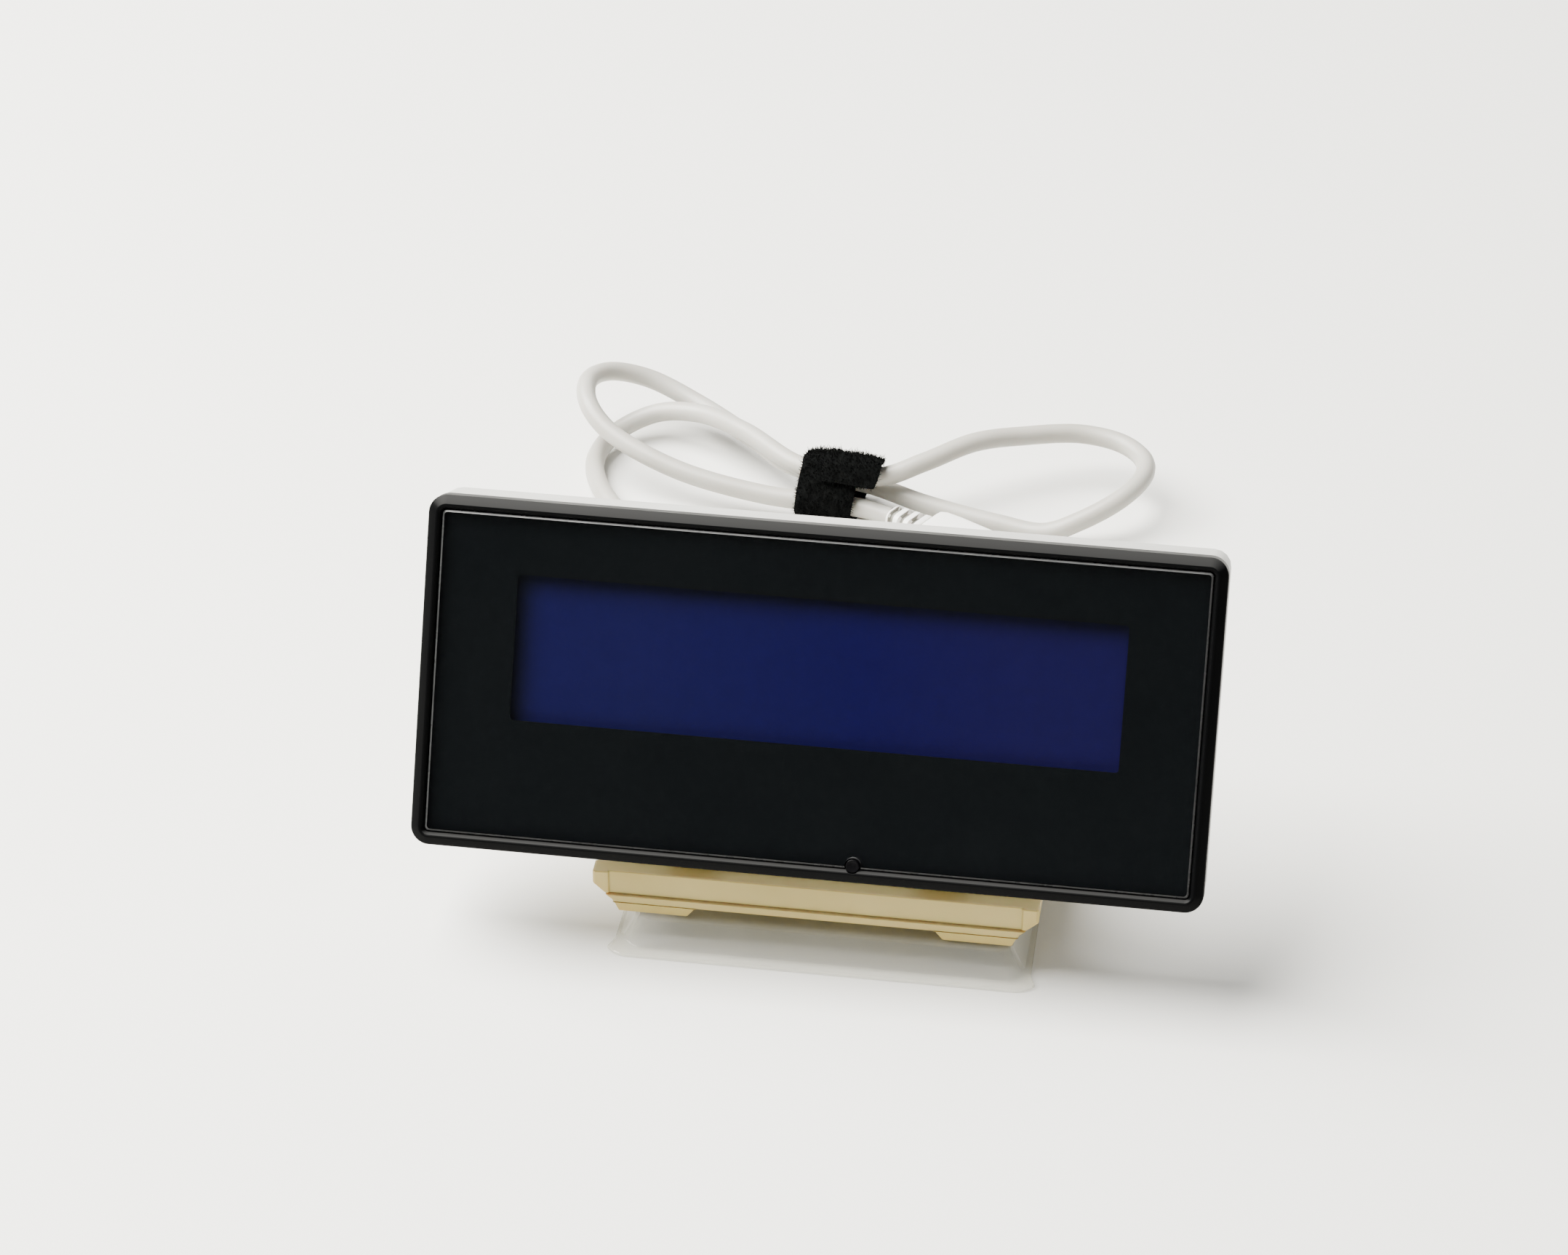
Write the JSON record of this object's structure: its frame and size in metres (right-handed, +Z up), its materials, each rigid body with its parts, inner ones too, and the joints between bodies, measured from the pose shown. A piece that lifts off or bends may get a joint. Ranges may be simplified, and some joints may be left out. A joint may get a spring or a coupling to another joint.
{
  "type": "customer display",
  "caption": "Checkout customer display: wide tilting head with a character window on a short stand and clear tray, with its tied-up lead.",
  "frame": {"origin": "on the surface it stands on, under the middle of its box, the lead, its tie and its plug left out", "axes": "+X to the reader's right, along the head; -Y towards the reader; +Z up"},
  "size_m": [0.1903, 0.2465, 0.1045],
  "materials": {
    "frame_black": "satin, slightly glossy bevel",
    "window_smoked": "clear acrylic, polished",
    "mask_print": "black back print",
    "lens_dark": "dark translucent",
    "bezel_metal": "black coated sheet",
    "display_blue": "deep blue unlit display glass",
    "backlight_white": "diffuser",
    "chassis_black": "moulded",
    "board_green": "solder mask",
    "chip_black": "moulded package",
    "socket_white": "moulded",
    "steel": "plated",
    "cover_white": "fine moulded texture",
    "stand_cream": "yellowed, satin",
    "pad_rubber": "matt",
    "clear_plastic": "thin clear formed sheet",
    "lead_white": "smooth soft jacket, slightly yellowed",
    "tie_black": "fuzzy loop pile",
    "plug_white": "moulded over the plug",
    "plug_metal": "plated shell"
  },
  "bodies": {
    "stand": {"stand_base": "stand_cream", "stand_tray": "stand_cream", "clear_riser": "clear_plastic", "hinge_shaft": "steel", "hinge_nut_left": "steel", "hinge_nut_right": "steel", "spring_washer_left": "steel", "spring_washer_right": "steel", "cable_gland": "plug_white", "stand_screw_1": "steel", "stand_screw_2": "steel", "stand_screw_3": "steel", "stand_screw_4": "steel", "foot_pad_1": "pad_rubber", "foot_pad_2": "pad_rubber", "foot_pad_3": "pad_rubber", "foot_pad_4": "pad_rubber", "lead": "lead_white", "cable_tie": "tie_black", "plug_relief": "plug_white", "plug_body": "plug_white", "plug_shell": "plug_metal", "plug_insulator": "socket_white"},
    "head": {"front_frame": "frame_black", "front_window": "window_smoked", "window_mask": "mask_print", "status_lens": "lens_dark", "display_bezel": "bezel_metal", "display_glass": "display_blue", "display_backlight": "backlight_white", "display_chassis": "chassis_black", "display_board": "board_green", "main_board": "board_green", "board_header": "chip_black", "controller_chip": "chip_black", "driver_chip": "chip_black", "lead_socket": "socket_white", "rear_cover": "cover_white", "hinge_bracket_left": "steel", "hinge_bracket_right": "steel", "bracket_screw_left": "steel", "bracket_screw_right": "steel", "display_screw_1": "steel", "display_screw_2": "steel", "display_screw_3": "steel", "display_screw_4": "steel", "board_screw_1": "steel", "board_screw_2": "steel", "board_screw_3": "steel", "board_screw_4": "steel", "cover_screw_1": "steel", "cover_screw_2": "steel", "cover_screw_3": "steel", "cover_screw_4": "steel"}
  },
  "joints": [
    {"name": "head_tilt", "type": "hinge", "parent": "stand", "child": "head", "pos_m": [0.002, -0.02367, 0.03008], "axis": [-1, 0, 0], "range_deg": [-26, 22]}
  ]
}
